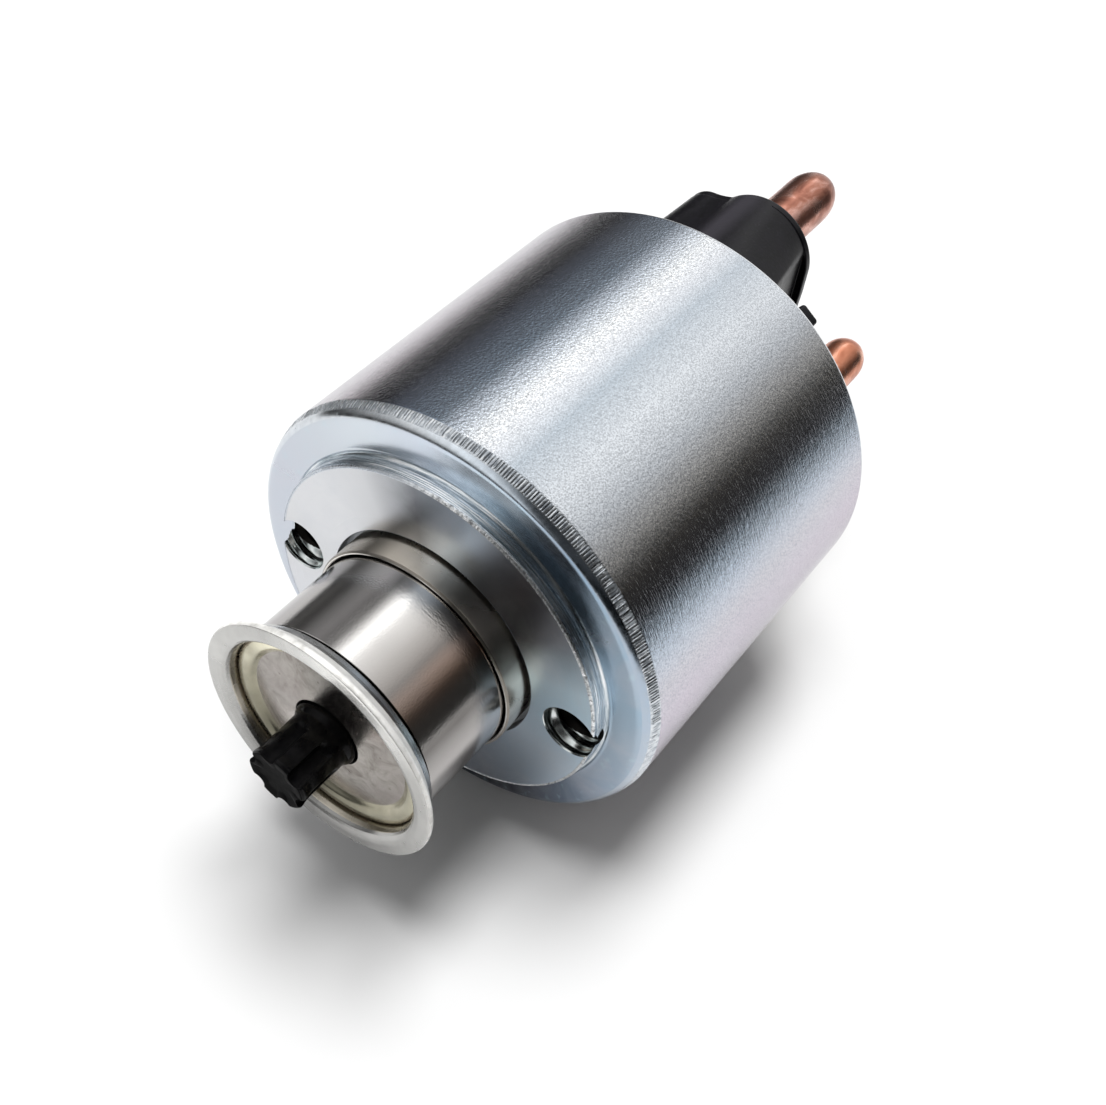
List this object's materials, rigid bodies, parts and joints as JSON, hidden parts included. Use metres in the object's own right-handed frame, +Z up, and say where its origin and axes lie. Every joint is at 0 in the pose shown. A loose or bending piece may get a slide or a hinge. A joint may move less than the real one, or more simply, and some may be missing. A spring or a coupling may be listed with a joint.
{
  "type": "starter solenoid",
  "caption": "Starter motor solenoid: plated steel case with a sliding plunger and flanged cup in front, and a black terminal cap with copper studs behind.",
  "frame": {"origin": "where the plunger's axis meets the case's front mounting face, midway between the two fixing screw holes", "axes": "+X along the plunger, out of the front of the case; +Z up with the two screw holes level; +Y completes the right-handed frame"},
  "size_m": [0.1092, 0.056, 0.056],
  "materials": {
    "zinc_steel": "bright zinc plate over a fine cast-like grain",
    "satin_nickel": "satin turned nickel plate",
    "tube_steel": "satin stainless tube",
    "cup_steel": "satin pressed steel",
    "ring_yellow": "satin pale yellow plate",
    "disc_steel": "dull mottled steel",
    "stem_plastic": "gloss moulded",
    "cap_plastic": "semi-gloss moulded",
    "copper": "satin copper",
    "coil_copper": "enamelled copper wire",
    "bobbin_plastic": "natural moulded nylon",
    "wrap_paper": "varnished paper",
    "core_steel": "turned soft iron",
    "spring_steel": "drawn spring wire",
    "insulator": "moulded phenolic",
    "seal_rubber": "moulded rubber",
    "tin_blade": "tinned brass blade"
  },
  "bodies": {
    "housing": {"solenoid_case": "zinc_steel", "guide_tube": "tube_steel", "coil_cushion_ring": "seal_rubber", "coil_bobbin": "bobbin_plastic", "pull_in_winding": "coil_copper", "hold_in_winding": "coil_copper", "coil_wrap": "wrap_paper", "yoke_plate": "core_steel", "fixed_core": "core_steel", "cap_gasket": "seal_rubber", "terminal_cap": "cap_plastic", "trigger_blade": "tin_blade", "battery_stud": "copper", "motor_stud": "copper", "battery_stud_seal": "seal_rubber", "motor_stud_seal": "seal_rubber", "battery_stud_ring": "spring_steel", "motor_stud_ring": "spring_steel", "trigger_lead": "coil_copper", "motor_lead": "coil_copper", "return_spring": "spring_steel", "contact_return_spring": "spring_steel"},
    "plunger": {"plunger": "satin_nickel", "plunger_cup": "cup_steel", "cup_retaining_ring": "ring_yellow", "plunger_end_disc": "disc_steel", "engagement_spring": "spring_steel"},
    "stem": {"engagement_stem": "stem_plastic"},
    "contact_carriage": {"contact_rod": "core_steel", "insulating_bush": "insulator", "contact_disc": "copper", "insulating_washer": "insulator", "retaining_clip": "spring_steel", "contact_pressure_spring": "spring_steel"}
  },
  "joints": [
    {"name": "plunger_slide", "type": "slide", "parent": "housing", "child": "plunger", "axis": [1, 0, 0], "range_m": [-0.0105, 0], "stiffness_N_per_m": 1200, "springref_m": 0.006, "deforming": ["return_spring"]},
    {"name": "stem_slide", "type": "slide", "parent": "plunger", "child": "stem", "axis": [1, 0, 0], "range_m": [0, 0.003], "stiffness_N_per_m": 1500, "springref_m": -0.002, "deforming": ["engagement_spring"]},
    {"name": "contact_slide", "type": "slide", "parent": "housing", "child": "contact_carriage", "axis": [1, 0, 0], "range_m": [-0.0025, 0], "deforming": ["contact_return_spring"]}
  ],
  "couplings": [
    {"joint": "contact_slide", "follows": "plunger_slide", "ratio": 0.238}
  ]
}
